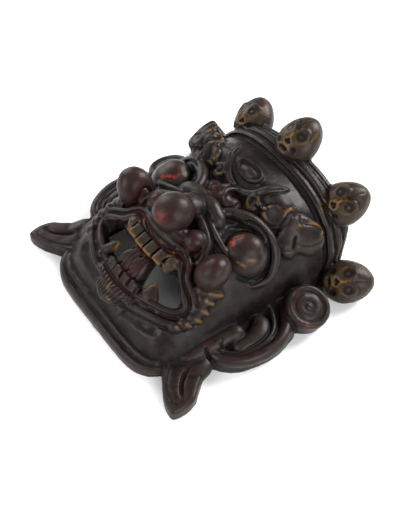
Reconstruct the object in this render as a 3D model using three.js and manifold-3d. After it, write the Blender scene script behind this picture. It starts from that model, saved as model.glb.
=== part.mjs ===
// Bhairab mask: one carved wooden face with a hollow back, lying face up.
// Millimetres, +Z out of the face, +Y from the chin to the crown, origin under the middle of the back.

import * as THREE from 'three';
import { mergeVertices } from 'three/addons/utils/BufferGeometryUtils.js';
import Module from 'manifold-3d';

const wasm = await Module();
wasm.setup();

// Driving dimensions of the face block
const faceHalfWidth = 113;
const faceLength = 318;
const faceDepth = 122;
const planSquareness = 5.6;
const domeRoundness = 2.5;
const wallThickness = 11;
const cutClearance = 5;
const rimWidth = 9;

// Nose, cheeks and eyes
const noseRadius = 21;
const noseHeight = 131;
const noseY = 120;
const nostrilRadius = 12;
const nostrilX = 34;
const cheekX = 76;
const cheekY = 121;
const cheekLength = 25;
const cheekWidth = 19;
const cheekRise = 19;
const eyeX = 71;
const eyeY = 169;
const eyeRadius = 26;
const eyeRise = 24;
const eyeSink = 13;
const pupilRadius = 10;
const pitMargin = 5;

// Mouth
const lipWidth = 8.5;
const lipRise = 5.5;
const toothWidth = 15;
const toothLength = 15;
const toothThickness = 10;
const fangLength = 20;
const tongueHalfWidth = 16;
const tongueThickness = 15;
const openingReach = 5;

// Brow, forehead and crown
const lidWidth = 6.5;
const lidRise = 8;
const nearPlateLift = 0;
const farPlateLift = 18;
const thirdEyeY = 231;
const thirdEyeHalfLength = 17;
const thirdEyeHalfHeight = 10;
const thirdEyeRing = 2.6;
const bandFrontToCrown = 50;
const bandRearToCrown = 5;
const bandRolls = 3;
const bandRise = 5.5;
const bandSideDrop = 16;

// Skulls on the crown
const skullLength = 63;
const skullWidth = 50;
const skullDepth = 44;
const socketRadius = 6.5;

// Ears
const earThickness = 21;
const earRollRadius = 9;
const discX = 145;
const discY = 210.5;
const discHeight = 33;
const discRadius = 27.5;
const discTilt = 20;
const leafThickness = 18;

const timber = new THREE.MeshStandardMaterial({ color: '#3a2a2a', roughness: 0.42, metalness: 0 });

// Midline template of the face: drawn distance from the chin edge, drawn height above the back
const template = [
  [0, 12], [8, 14], [18, 24], [29, 44], [45, 60], [62, 72], [90, 90], [106, 98], [122, 105],
  [142, 109], [160, 110], [190, 106], [206, 104], [217, 113], [231, 125], [247, 124],
  [266, 119], [284, 120], [300, 114], [312, 100], [320, 84],
];

// The carving is drawn on a plan of this size, and grows with the face
const drawn = { halfWidth: 113, length: 318, depth: 122 };
const across = (x) => x * faceHalfWidth / drawn.halfWidth;
const along = (y) => y * faceLength / drawn.length;
const deep = (z) => z * faceDepth / drawn.depth;
const spot = (x, y, z) => new THREE.Vector3(across(x), along(y), deep(z));

const clamp = (value, low, high) => Math.min(high, Math.max(low, value));

function templateHeight(distance) {
  const drawnY = distance * drawn.length / faceLength;
  const y = clamp(drawnY, template[0][0], template[template.length - 1][0]);
  const next = Math.max(1, template.findIndex(([station]) => station >= y));
  const [y0, z0] = template[next - 1];
  const [y1, z1] = template[next];
  return deep(z0 + (z1 - z0) * (y - y0) / (y1 - y0));
}

// How far the chin edge has curved back at a distance x from the middle
function chinEdge(x) {
  const u = Math.min(Math.abs(x) / faceHalfWidth, 0.999);
  return faceLength / 2 * (1 - (1 - u ** planSquareness) ** (1 / planSquareness));
}

// Half width of the back outline at a distance y from the chin
function planHalfWidth(y) {
  const v = Math.min(Math.abs(2 * y / faceLength - 1), 0.999);
  return faceHalfWidth * (1 - v ** planSquareness) ** (1 / planSquareness);
}

// Height of the plain face, before its features are carved
function faceHeight(x, y) {
  const u = Math.min(Math.abs(x) / faceHalfWidth, 1);
  const jawBlend = Math.max(0, 1 - y / along(80));
  const distance = y - chinEdge(x) * jawBlend;
  const dome = (1 - u ** domeRoundness) ** (1 / domeRoundness);
  const jawLift = 0.6 * (1 - dome) * clamp(1 - distance / along(20), 0, 1);
  return templateHeight(distance) * (dome + jawLift);
}

function faceNormal(x, y) {
  const step = 1.5;
  const slopeX = (faceHeight(x + step, y) - faceHeight(x - step, y)) / (2 * step);
  const slopeY = (faceHeight(x, y + step) - faceHeight(x, y - step)) / (2 * step);
  return new THREE.Vector3(-slopeX, -slopeY, 1).normalize();
}

// A point drawn on the face, raised along +Z
function onFace([drawnX, drawnY, rise = 0]) {
  const x = across(drawnX);
  const y = along(drawnY);
  return new THREE.Vector3(x, y, faceHeight(x, y) + rise);
}

// One closed skin: corners that meet are shared
function closed(source) {
  const bare = source.index ? source.toNonIndexed() : source.clone();
  bare.deleteAttribute('normal');
  bare.deleteAttribute('uv');
  return mergeVertices(bare, 1e-4);
}

function toSolid(geometry) {
  const places = geometry.attributes.position.array;
  const corners = [];
  let volume = 0;
  const a = new THREE.Vector3();
  const b = new THREE.Vector3();
  const c = new THREE.Vector3();
  for (let i = 0; i < geometry.index.count; i += 3) {
    const [p, q, r] = [0, 1, 2].map((k) => geometry.index.getX(i + k));
    if (p === q || q === r || r === p) continue;
    a.fromArray(places, 3 * p);
    b.fromArray(places, 3 * q);
    c.fromArray(places, 3 * r);
    volume += a.dot(b.cross(c));
    corners.push([p, q, r]);
  }
  if (volume < 0) corners.forEach((face) => face.reverse());
  const mesh = new wasm.Mesh({
    numProp: 3,
    vertProperties: new Float32Array(places),
    triVerts: new Uint32Array(corners.flat()),
  });
  return new wasm.Manifold(mesh);
}

function mirrored(geometry) {
  return geometry.clone().scale(-1, 1, 1);
}

function moveVertices(geometry, rule) {
  const position = geometry.attributes.position;
  const point = new THREE.Vector3();
  for (let i = 0; i < position.count; i += 1) {
    point.fromBufferAttribute(position, i);
    rule(point);
    position.setXYZ(i, point.x, point.y, point.z);
  }
  return geometry;
}

// Forms

// A dome over the rounded-square plan, flat at the bottom: the block the face is cut from
function block({ inset, top, bottom, rings, sides }) {
  const profile = [new THREE.Vector2(0, 0)];
  for (let i = 1; i <= rings; i += 1) {
    const share = i / rings;
    profile.push(new THREE.Vector2(1 - (1 - share) ** 1.7, 0));
  }
  profile.push(new THREE.Vector2(1, 1));
  profile.push(new THREE.Vector2(0, 1));
  const geometry = closed(new THREE.LatheGeometry(profile, sides));
  const halfWidth = faceHalfWidth - inset;
  const halfLength = faceLength / 2 - inset;
  return moveVertices(geometry, (point) => {
    const radius = Math.hypot(point.x, point.z);
    const angle = Math.atan2(point.z, point.x);
    const reach = (Math.abs(Math.cos(angle)) ** planSquareness
      + Math.abs(Math.sin(angle)) ** planSquareness) ** (-1 / planSquareness);
    const x = halfWidth * radius * reach * Math.cos(angle);
    const y = faceLength / 2 + halfLength * radius * reach * Math.sin(angle);
    point.set(x, y, point.y > 0.5 ? bottom : top(x, y));
  });
}

function egg(center, radii, turn = new THREE.Euler(), sides = 10) {
  const geometry = closed(new THREE.SphereGeometry(1, sides, Math.round(sides * 0.6)));
  geometry.scale(...radii);
  geometry.applyQuaternion(new THREE.Quaternion().setFromEuler(turn));
  return geometry.translate(center.x, center.y, center.z);
}

function valueAt(list, share) {
  const place = share * (list.length - 1);
  const low = Math.min(Math.floor(place), list.length - 2);
  return list.length === 1 ? list[0] : list[low] + (list[low + 1] - list[low]) * (place - low);
}

// The frame of a carved roll at a share of its path: across it and out of the surface
function rollFrame(curve, share, outward) {
  const point = curve.getPointAt(share);
  const along = curve.getTangentAt(share);
  const out = outward(point).clone();
  const across = new THREE.Vector3().crossVectors(along, out).normalize();
  out.crossVectors(across, along).normalize();
  return { point, across, out };
}

const upward = () => new THREE.Vector3(0, 0, 1);
const offFace = (point) => faceNormal(point.x, point.y);

// A tapered roll along a path, round-ended, wider or narrower from station to station
function roll(path, halfWidths, halfHeights, { outward = offFace, steps = 8, sides = 5 } = {}) {
  const curve = new THREE.CatmullRomCurve3(path);
  const profile = [new THREE.Vector2(0, 0)];
  for (let i = 0; i <= steps; i += 1) {
    const share = i / steps;
    const end = Math.min(share, 1 - share) * steps;
    profile.push(new THREE.Vector2(end < 0.5 ? 0.55 : 1, clamp(share, 0.02, 0.98)));
  }
  profile.push(new THREE.Vector2(0, 1));
  const geometry = closed(new THREE.LatheGeometry(profile, sides));
  return moveVertices(geometry, (point) => {
    const share = clamp(point.y, 0, 1);
    const frame = rollFrame(curve, share, outward);
    const side = point.x * valueAt(halfWidths, share);
    const rise = point.z * valueAt(halfHeights, share);
    point.copy(frame.point).addScaledVector(frame.across, side).addScaledVector(frame.out, rise);
  });
}

// A closed roll, such as a lip or the ring round an eye
function ring(path, halfWidth, halfHeight, { outward = offFace, steps = 30, sides = 5 } = {}) {
  const curve = new THREE.CatmullRomCurve3(path, true);
  const geometry = closed(new THREE.TorusGeometry(4, 1, sides, steps));
  return moveVertices(geometry, (point) => {
    const share = (Math.atan2(point.y, point.x) / (2 * Math.PI) + 1) % 1;
    const side = (Math.hypot(point.x, point.y) - 4) * halfWidth;
    const rise = point.z * halfHeight;
    const frame = rollFrame(curve, share, outward);
    point.copy(frame.point).addScaledVector(frame.across, side).addScaledVector(frame.out, rise);
  });
}

// A board cut to a drawn outline, with rounded upper edges
function board(outline, bottom, top, round) {
  const shape = new THREE.Shape();
  const [first, ...others] = outline.map(([x, y]) => new THREE.Vector2(across(x), along(y)));
  shape.moveTo(first.x, first.y);
  shape.splineThru(others);
  shape.closePath();
  const geometry = closed(new THREE.ExtrudeGeometry(shape, {
    depth: top - bottom - round,
    steps: 1,
    curveSegments: 1,
    bevelEnabled: true,
    bevelThickness: round,
    bevelSize: round,
    bevelOffset: -round,
    bevelSegments: 1,
  }));
  geometry.translate(0, 0, bottom);
  return moveVertices(geometry, (point) => {
    point.z = Math.max(point.z, bottom);
  });
}

// Chin rim: a rolled edge that follows the jaw from corner to corner
function chinRim() {
  const path = [];
  const reach = faceHalfWidth - 6;
  for (let i = -6; i <= 6; i += 1) {
    const x = reach * Math.sin(i / 6 * Math.PI / 2);
    path.push(new THREE.Vector3(x, chinEdge(x) + rimWidth / 2 + 1, 11));
  }
  return roll(path, [rimWidth / 2], [7], { outward: upward, steps: 10, sides: 4 });
}

// Goatee under the middle of the lower lip
function goatee() {
  return [-1, 0, 1].map((side) => roll(
    [onFace([side * 24, 34, 0]), onFace([side * 12, 27, 2]), spot(side * 3, 14, 45)],
    [6, 11, 3], [7, 8, 4], { steps: 3 },
  ));
}

// Mouth: a closed double lip round four openings between the teeth and the tongue
const lipPath = [
  [0, 98, 3], [20, 101, 3], [38, 108, 1], [50, 103, 0], [58, 94, 1], [78, 88, 2], [87, 77, 0],
  [84, 66, -1], [73, 57, 0], [56, 49, 0], [30, 41, 1], [0, 35, 2],
];

function lipLoop(share, lift) {
  const middle = [0, 70];
  const right = lipPath.map(([x, y, rise]) => [
    middle[0] + (x - middle[0]) * share,
    middle[1] + (y - middle[1]) * share,
    rise + lift,
  ]);
  const left = right.slice(1, -1).reverse().map(([x, y, rise]) => [-x, y, rise]);
  return [...right, ...left].map(onFace);
}

function lips() {
  return [ring(lipLoop(1.03, 0), lipWidth, lipRise, { steps: 20, sides: 4 })];
}

function mouthOpenings() {
  const half = [
    [13, 53], [34, 56], [54, 61], [66, 70], [67, 79], [56, 84], [38, 82], [15, 80],
  ];
  const geometry = board(half, -openingReach, faceDepth + openingReach, 1);
  return [geometry, mirrored(geometry)];
}

// The mouth is scooped inside the lips, so that teeth and tongue stand free
function mouthScoop() {
  const path = [[-50, 76], [-25, 68], [0, 66], [25, 68], [50, 76]].map(([x, y]) => onFace([x, y, 2]));
  return roll(path, [12, 20, 22, 20, 12], [16, 18, 18, 18, 16], { steps: 5, sides: 6 });
}

function tooth(place, length, width, lean) {
  const geometry = closed(new THREE.CylinderGeometry(width / 2, width * 0.38, length, 4, 1));
  geometry.rotateY(Math.PI / 4);
  geometry.scale(1.25, 1, toothThickness / width * 1.25);
  geometry.rotateX(lean);
  return geometry.translate(place.x, place.y, place.z);
}

function fang(root, tip, width) {
  const middle = root.clone().lerp(tip, 0.5);
  return roll([root, middle, tip], [width / 2, width * 0.42, 1], [width / 2, width * 0.4, 1],
    { outward: upward, steps: 2, sides: 4 });
}

function teeth() {
  const forms = [];
  for (let i = 0; i < 4; i += 1) {
    const x = (i - 1.5) * toothWidth;
    const upper = spot(x, 85 + Math.abs(x) * 0.2, 91);
    forms.push(tooth(upper, toothLength, toothWidth, 0.45));
    const lower = spot(x * 0.9, 48 + Math.abs(x) * 0.15, 62);
    forms.push(tooth(lower, toothLength * 0.85, toothWidth * 0.85, 0.9));
  }
  const fangWidth = toothWidth * 1.1;
  const upperFang = fang(spot(36, 99, 95), spot(38, 99 - fangLength, 83), fangWidth);
  const lowerFang = fang(spot(42, 48, 58), spot(36.5, 48 + fangLength, 70), fangWidth);
  forms.push(upperFang, mirrored(upperFang), lowerFang, mirrored(lowerFang));
  return forms;
}

function tongue() {
  const path = [[0, 46, 44], [0, 58, 62], [0, 72, 74], [0, 88, 82]]
    .map((place) => spot(...place));
  return roll(path, [tongueHalfWidth, tongueHalfWidth, tongueHalfWidth * 0.9, tongueHalfWidth * 0.7],
    [tongueThickness / 2], { outward: upward, steps: 3, sides: 6 });
}

// Nose bulb, nostril wings, the rolled skin above it and the ridges that run to the cheeks
function nose() {
  const wing = egg(spot(nostrilX, noseY + 4, 107), [nostrilRadius, nostrilRadius, nostrilRadius],
    new THREE.Euler(), 8);
  const ridgePath = [[4, 154, 4], [22, 152, 3], [38, 147, 3], [58, 145, 1], [76, 148, 0]].map(onFace);
  const ridge = roll(ridgePath, [5, 5, 4, 3, 2.5], [5, 5, 4, 3, 3], { steps: 5, sides: 4 });
  const underPath = [[0, 108, 4], [18, 110, 6], [32, 114, 4]].map(onFace);
  const under = roll(underPath, [6, 6, 6], [8, 8, 8], { steps: 3, sides: 4 });
  const bridge = roll(
    [onFace([0, 158, 0]), onFace([0, 142, 8]), spot(0, noseY + 4, noseHeight - 10)],
    [12, 15, 14], [10, 12, 13], { steps: 3, sides: 6 },
  );
  const rollPath = [[-32, 163, 2], [-16, 165, 7], [0, 166, 10], [16, 165, 7], [32, 163, 2]].map(onFace);
  return [
    egg(spot(0, noseY, noseHeight), [noseRadius, noseRadius, noseRadius * 1.05],
      new THREE.Euler(), 12),
    bridge, wing, mirrored(wing), ridge, mirrored(ridge), under, mirrored(under),
    roll(rollPath, [6, 10, 11, 10, 6], [5, 8, 9, 8, 5], { steps: 6, sides: 6 }),
  ];
}

function cheeks() {
  const turn = new THREE.Euler(0, 0.35, 0.35);
  const center = onFace([cheekX, cheekY, cheekRise]);
  const cheek = egg(center, [cheekWidth, cheekLength, cheekWidth], turn, 10);
  return [cheek, mirrored(cheek)];
}

// Eyes: a ball in a sunk pit under a heavy rolled lid
function eyePits() {
  const center = onFace([eyeX, eyeY, 9]);
  const radius = eyeRadius + pitMargin;
  const pit = egg(center, [radius, radius, 17], new THREE.Euler(0.05, 0.4, 0), 8);
  return [pit, mirrored(pit)];
}

function eyes() {
  const center = onFace([eyeX, eyeY, -eyeSink + 4]);
  const ball = egg(center, [eyeRadius, eyeRadius, eyeRise], new THREE.Euler(0, 0.3, 0), 10);
  const pupilPlace = onFace([eyeX + 2, eyeY + 1, eyeRise - eyeSink]);
  const pupil = egg(pupilPlace, [pupilRadius, pupilRadius, pupilRadius * 0.8], new THREE.Euler(), 8);
  return [ball, mirrored(ball), pupil, mirrored(pupil)];
}

function lids() {
  const path = [
    [20, 158, 4], [32, 186, 3], [58, 203, 4], [82, 206, 5], [98, 197, 4], [104, 180, 3], [104, 160, 2],
  ].map(onFace);
  const widths = [4, lidWidth, lidWidth, lidWidth, 5, 4, 2.5];
  const rises = [5, lidRise, lidRise, lidRise, 6, 5, 3];
  const lid = roll(path, widths, rises, { steps: 8, sides: 4 });
  return [lid, mirrored(lid)];
}

// Frown over the nose, brow curls and the flame locks that stream back from them
function frown() {
  const path = [[0, 196, 0], [12, 194, 3], [24, 192, 0]].map(onFace);
  const form = roll(path, [10, 13, 5], [8, 9, 5], { steps: 3, sides: 6 });
  return [form, mirrored(form)];
}

function spiral(center, radius, turns, count) {
  const path = [];
  for (let i = 0; i <= count; i += 1) {
    const angle = -0.6 + i / count * turns * 2 * Math.PI;
    const reach = radius * (1 - 0.62 * i / count);
    path.push([center[0] + reach * Math.cos(angle), center[1] + reach * Math.sin(angle), 4]);
  }
  return path;
}

function browLocks(plateLift) {
  const curl = roll([[46, 214, 3], ...spiral([30, 207], 9, 1.1, 8)].map(onFace),
    [4, 4, 3.5, 3], [6, 6, 5, 5], { steps: 6, sides: 4 });
  const streams = [
    { path: [[44, 208, 2], [52, 226, 5], [60, 246, 5]], width: [7, 12, 1.5] },
    { path: [[58, 208, 2], [68, 232, 5], [78, 266, 4]], width: [7, 13, 1.5] },
    { path: [[80, 211, 1], [88, 230, 2 + plateLift / 2], [95, 250, 2 + plateLift]], width: [9, 13, 4] },
  ].map(({ path, width }) => roll(path.map(onFace), width, [6, 9, 2], { steps: 4, sides: 5 }));
  return [curl, ...streams];
}

// Third eye lying across the forehead in its sunk field
function thirdEye() {
  const path = [];
  for (let i = 0; i < 12; i += 1) {
    const angle = i / 12 * 2 * Math.PI;
    path.push([
      thirdEyeHalfLength * Math.cos(angle),
      thirdEyeY + thirdEyeHalfHeight * Math.sin(angle),
      2.5,
    ]);
  }
  const ridgePath = [[0, 211, 3], [16, 213, 3], [30, 223, 3], [42, 242, 2]].map(onFace);
  const ridge = roll(ridgePath, [4, 4, 3.5, 2], [5, 5, 5, 3], { steps: 5 });
  return [
    ring(path.map(onFace), thirdEyeRing, thirdEyeRing + 1, { steps: 16, sides: 4 }),
    egg(onFace([0, thirdEyeY, -2]), [9, 7, 7], new THREE.Euler(), 8),
    ridge, mirrored(ridge),
  ];
}

// Crown band: parallel rolls across the top of the head and down its side walls
function crownBand() {
  const pitch = (bandFrontToCrown - bandRearToCrown) / bandRolls;
  const archShare = 0.72;
  const stations = 7;
  const outOfBand = (point) => new THREE.Vector3(point.x, 0, Math.max(point.z - deep(24), 0)).normalize();
  const forms = [];
  for (let i = 0; i < bandRolls; i += 1) {
    const middle = faceLength - bandFrontToCrown + pitch * (i + 0.5);
    const path = [];
    for (let k = -stations; k <= stations; k += 1) {
      const share = Math.abs(k) / stations;
      const y = middle - bandSideDrop * share ** 4;
      const reach = planHalfWidth(y) - 1;
      const x = reach * Math.sin(clamp(share / archShare, 0, 1) * Math.PI / 2);
      const drop = clamp((share - archShare) / (1 - archShare), 0, 1);
      path.push(new THREE.Vector3(Math.sign(k) * x, y, faceHeight(x, y) * (1 - drop) + 5 * drop));
    }
    forms.push(roll(path, [pitch * 0.52], [bandRise], { outward: outOfBand, steps: 10, sides: 4 }));
  }
  return forms;
}

// A skull: egg-shaped head with a jaw, facing up and out, its crown pointing away from the face
function skullFrame(place) {
  return new THREE.Matrix4()
    .makeRotationZ(-place.fan * degrees)
    .multiply(new THREE.Matrix4().makeRotationX(place.raise * degrees))
    .multiply(new THREE.Matrix4().makeRotationY(place.roll * degrees))
    .setPosition(place.x, place.y, place.z);
}

const degrees = Math.PI / 180;
const skullRight = {
  x: faceHalfWidth - 27, y: faceLength - 11, z: faceDepth - 27, fan: 27, raise: 28, roll: 28,
};
const skullOuterRight = {
  x: faceHalfWidth + 25, y: faceLength - 39, z: 18, fan: 48, raise: 16, roll: 38,
};
const skullPlaces = [
  { x: 0, y: faceLength - 12, z: faceDepth + 8, fan: 0, raise: 34, roll: 0 },
  ...[skullRight, skullOuterRight].flatMap((place) => [
    place, { ...place, x: -place.x, fan: -place.fan, roll: -place.roll },
  ]),
];

function skull(place) {
  const frame = skullFrame(place);
  const here = (geometry) => toSolid(geometry.applyMatrix4(frame));
  const half = skullLength / 2;
  const head = egg(new THREE.Vector3(), [skullWidth / 2, half, skullDepth / 2], new THREE.Euler(), 8);
  moveVertices(head, (point) => {
    const toCrown = point.y / half;
    point.x *= 1 - 0.12 * toCrown;
    point.z *= 1 - 0.06 * toCrown;
  });
  const front = skullDepth * 0.42;
  const neck = egg(new THREE.Vector3(0, -half * 0.85, -skullDepth * 0.12), [13, 19, 12],
    new THREE.Euler(), 5);
  const muzzle = egg(new THREE.Vector3(0, -half * 0.52, front * 0.55), [skullWidth * 0.24, half * 0.34, 9],
    new THREE.Euler(), 6);
  const socket = egg(new THREE.Vector3(socketRadius * 1.35, 0, front + 2),
    [socketRadius, socketRadius, socketRadius], new THREE.Euler(), 5);
  const mouthSlot = egg(new THREE.Vector3(0, -half * 0.62, front + 1), [7, 2, 6], new THREE.Euler(), 4);
  const cuts = [socket, mirrored(socket), mouthSlot];
  let solid = here(head).add(here(neck)).add(here(muzzle));
  cuts.forEach((cut) => {
    solid = solid.subtract(here(cut));
  });
  return solid;
}

// Side locks of the moustache and beard that run from the mouth corners over the jaw
function beardLocks() {
  const locks = [
    [[76, 98, 1], [86, 110, 3], [96, 128, 1]],
    [[86, 88, 1], [94, 95, 3], [101, 104, 1]],
    [[91, 68, 1], [97, 75, 3], [102, 84, 1]],
  ].map((path) => roll(path.map(onFace), [4.5, 5.5, 1.5], [4, 5, 2], { steps: 3, sides: 4 }));
  return [...locks, ...locks.map(mirrored)];
}

// Ear: a leaf at the lobe, a scrolled helix and a round disc above it
function ear() {
  const leafOutline = [
    [96, 38], [103, 29], [121, 17], [135, 9], [149, 5], [158, 6], [161, 20], [158, 36],
    [148, 49], [139, 61], [134, 74], [126, 88], [100, 84],
  ];
  const helixOutline = [
    [98, 72], [118, 76], [139, 85], [154, 104], [161, 130], [162, 152], [157, 172],
    [151, 186], [126, 198], [98, 196],
  ];
  const leaf = board(leafOutline, 0, leafThickness, 5);
  const helix = board(helixOutline, 0, earThickness, 4);
  const rollPath = [
    [108, 196], [130, 192], [149, 174], [154, 151], [152, 125], [141, 102], [126, 96],
  ].map(([x, y]) => new THREE.Vector3(across(x), along(y), earThickness - 1));
  const helixRoll = roll(rollPath, [6, earRollRadius, 8, 8, 8, 7, 7], [7, 8, 8, 8, 8, 7, 6],
    { outward: upward, steps: 7 });
  const armPath = [[104, 66], [110, 88], [117, 112], [126, 134]]
    .map(([x, y], i) => new THREE.Vector3(across(x), along(y), earThickness + 2 * i));
  const arm = roll(armPath, [8, 8, 8, 8], [8, 8, 7, 6], { outward: upward, steps: 5 });
  return [leaf, helix, helixRoll, arm, disc()];
}

function disc() {
  const rim = discRadius;
  const profile = [
    [0, -24], [rim, -24], [rim, -3], [rim - 3, 0], [rim - 9, -4],
    [rim * 0.5, 0], [0, 3],
  ].map(([radius, height]) => new THREE.Vector2(radius, height));
  const geometry = closed(new THREE.LatheGeometry(profile, 12));
  geometry.rotateX(Math.PI / 2);
  geometry.rotateY(discTilt * degrees);
  geometry.translate(across(discX), along(discY), discHeight);
  return moveVertices(geometry, (point) => {
    point.z = Math.max(point.z, 1);
  });
}

function earSlits() {
  const path = [[122, 54], [128, 43], [137, 33], [150, 25]]
    .map(([x, y]) => new THREE.Vector3(across(x), along(y), leafThickness + 2));
  const slit = roll(path, [1, 2.5, 2.5, 1], [3, 5, 5, 3], { outward: upward, steps: 4, sides: 4 });
  return [slit, mirrored(slit)];
}

// Everything below the flat back is planed off
function ground() {
  const depth = 60;
  const slab = new THREE.BoxGeometry(4 * faceHalfWidth, 2 * faceLength, depth);
  slab.translate(0, faceLength / 2, -depth / 2);
  return toSolid(closed(slab));
}

// A pocket closed in under a lock or a roll is solid wood
function withoutPockets(solid) {
  const wood = solid.decompose().filter((body) => body.volume() > 0);
  return wood.reduce((joined, body) => joined.add(body));
}

// The whole mask
function maskSolid() {
  const outer = toSolid(block({
    inset: 0, top: faceHeight, bottom: 0, rings: 6, sides: 32,
  }));
  const inner = (x, y) => Math.max(1, faceHeight(x * 1.06, y + 3) - wallThickness * 1.35);
  const hollow = toSolid(block({
    inset: wallThickness, top: inner, bottom: -cutClearance, rings: 4, sides: 18,
  }));
  const bothEars = ear().flatMap((form) => [form, mirrored(form)]);
  let mask = outer;
  eyePits().forEach((form) => {
    mask = mask.subtract(toSolid(form));
  });
  mask = mask.subtract(toSolid(mouthScoop()));
  const raised = [
    chinRim(), ...goatee(), ...lips(), ...nose(), ...cheeks(), ...eyes(), ...lids(), ...frown(),
    ...browLocks(nearPlateLift), ...browLocks(farPlateLift).map(mirrored),
    ...thirdEye(), ...crownBand(), ...beardLocks(), ...bothEars,
  ];
  raised.forEach((form) => {
    mask = mask.add(toSolid(form));
  });
  skullPlaces.forEach((place) => {
    mask = mask.add(skull(place));
  });
  mask = mask.subtract(hollow);
  mouthOpenings().forEach((form) => {
    mask = mask.subtract(toSolid(form));
  });
  [tongue(), ...teeth()].forEach((form) => {
    mask = mask.add(toSolid(form));
  });
  earSlits().forEach((form) => {
    mask = mask.subtract(toSolid(form));
  });
  return withoutPockets(mask.subtract(ground()));
}

function toGeometry(solid) {
  const mesh = solid.getMesh();
  const geometry = new THREE.BufferGeometry();
  geometry.setAttribute('position', new THREE.BufferAttribute(mesh.vertProperties, 3));
  geometry.setIndex(new THREE.BufferAttribute(mesh.triVerts, 1));
  return geometry;
}

const geometry = toGeometry(maskSolid());
geometry.computeBoundingBox();
const { min, max } = geometry.boundingBox;
geometry.translate(-(min.x + max.x) / 2, -(min.y + max.y) / 2, -min.z);

const mask = new THREE.Mesh(geometry, timber);
mask.name = 'mask';

const model = new THREE.Group();
model.add(mask);

export default model;
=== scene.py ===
# Bhairab mask: one block of carved, stained and polished wood, lying on its back.
# The carving is drawn in millimetres on a plan of the face: x to the right of the midline,
# y up from the chin to the crown, z out of the face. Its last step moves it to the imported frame.

import math

import bmesh
import bpy
import numpy as np
from mathutils import Euler, Matrix, Vector, noise
from mathutils.bvhtree import BVHTree


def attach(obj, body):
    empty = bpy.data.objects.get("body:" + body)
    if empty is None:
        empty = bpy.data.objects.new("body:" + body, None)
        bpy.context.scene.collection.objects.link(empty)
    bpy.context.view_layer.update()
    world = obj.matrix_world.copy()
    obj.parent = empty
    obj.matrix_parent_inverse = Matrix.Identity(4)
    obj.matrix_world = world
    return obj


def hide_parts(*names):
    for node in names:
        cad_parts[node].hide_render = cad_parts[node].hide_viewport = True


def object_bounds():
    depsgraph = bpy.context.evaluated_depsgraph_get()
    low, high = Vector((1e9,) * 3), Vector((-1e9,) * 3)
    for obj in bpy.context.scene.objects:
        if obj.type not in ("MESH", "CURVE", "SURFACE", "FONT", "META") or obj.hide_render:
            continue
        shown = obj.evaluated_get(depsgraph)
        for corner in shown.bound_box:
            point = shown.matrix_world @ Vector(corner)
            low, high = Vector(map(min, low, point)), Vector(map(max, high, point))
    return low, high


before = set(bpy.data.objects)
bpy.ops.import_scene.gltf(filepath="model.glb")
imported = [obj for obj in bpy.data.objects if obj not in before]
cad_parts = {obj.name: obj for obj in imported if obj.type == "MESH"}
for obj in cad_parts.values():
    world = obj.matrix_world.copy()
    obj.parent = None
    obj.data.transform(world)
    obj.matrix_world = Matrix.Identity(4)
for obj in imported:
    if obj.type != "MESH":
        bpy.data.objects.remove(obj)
solid_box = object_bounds()
MM = 0.001
CHIN_Y = solid_box[0][1]

# Face block
HALF_WIDTH = 113.0
LENGTH = 318.0
PLAN_SQUARENESS = 5.6
DOME_ROUNDNESS = 2.5
JAW_FADE = 80.0
WALL = 11.0
HOLLOW_UNDER_FACE = WALL * 1.35
MIDLINE = [
    (0, 12), (8, 14), (18, 24), (29, 44), (45, 60), (62, 72), (90, 90), (106, 98), (122, 105),
    (142, 109), (160, 110), (190, 106), (206, 105), (217, 113), (231, 125), (247, 124),
    (266, 119), (284, 120), (300, 114), (312, 100), (320, 84),
]

# Features
EYE = (71.0, 169.0)
EYE_RADIUS = 27.5
PIT_RADIUS = 29.0
PIT_DEPTH = 12.0
PUPIL = (74.0, 173.0)
PUPIL_RADIUS = 17.0
CHEEK = (78.0, 119.5)
NOSE = (0.0, 120.5, 127.0)
NOSE_RADIUS = 24.0
THIRD_EYE = (0.0, 231.0)
MOUTH_DEPTH = 23.0
MOUTH_SLOPE = 15.0
LIP_INSIDE = 9.0
TOOTH_WIDTH = 15.6
NEAR_FANG = 12.5
FAR_FANG = 7.5
BAND_GROOVES = (269.0, 281.0, 294.0, 307.0)
EAR_HEIGHT = 21.0
LEAF_HEIGHT = 18.0
DISC = (145.0, 210.5, 33.0)
DISC_RADIUS = 27.5
FAR_DISC_DROP = 8.0
DISC_TILT = 22.0
SKULL_SIZE = (53.0, 65.0, 45.0)
SOCKET = (10.0, 4.0)
SOCKET_RING = 7.0

# Fineness of the carved surface
ROUGH_VOXEL = 1.3
FINE_VOXEL = 0.95
TRIANGLE_LIMIT = 192000
STROKE_FALL = 1.5
HIGH_ABOVE = 220.0
SKULL_ABOVE = 40.0


def smooth_stations(stations, step=1.0):
    """A soft line through given stations, as two arrays."""
    points = [Vector((a, b)) for a, b in stations]
    points = [points[0] * 2 - points[1]] + points + [points[-1] * 2 - points[-2]]
    line = []
    for before, start, end, after in zip(points, points[1:], points[2:], points[3:]):
        count = max(2, int((end - start).length / step))
        for i in range(count):
            line.append(catmull(before, start, end, after, i / count))
    line.append(points[-2])
    return np.array([p.x for p in line]), np.array([p.y for p in line])


def catmull(before, start, end, after, share):
    return 0.5 * (
        2 * start
        + (end - before) * share
        + (2 * before - 5 * start + 4 * end - after) * share ** 2
        + (3 * start - 3 * end + after - before) * share ** 3
    )


MIDLINE_Y, MIDLINE_Z = smooth_stations(MIDLINE)


def chin_edge(x):
    """How far the chin edge has curved back at a distance x from the middle."""
    u = np.minimum(np.abs(x) / HALF_WIDTH, 0.999)
    return LENGTH / 2 * (1 - (1 - u ** PLAN_SQUARENESS) ** (1 / PLAN_SQUARENESS))


def plan_half_width(y):
    v = min(abs(2 * y / LENGTH - 1), 0.999)
    return HALF_WIDTH * (1 - v ** PLAN_SQUARENESS) ** (1 / PLAN_SQUARENESS)


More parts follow.
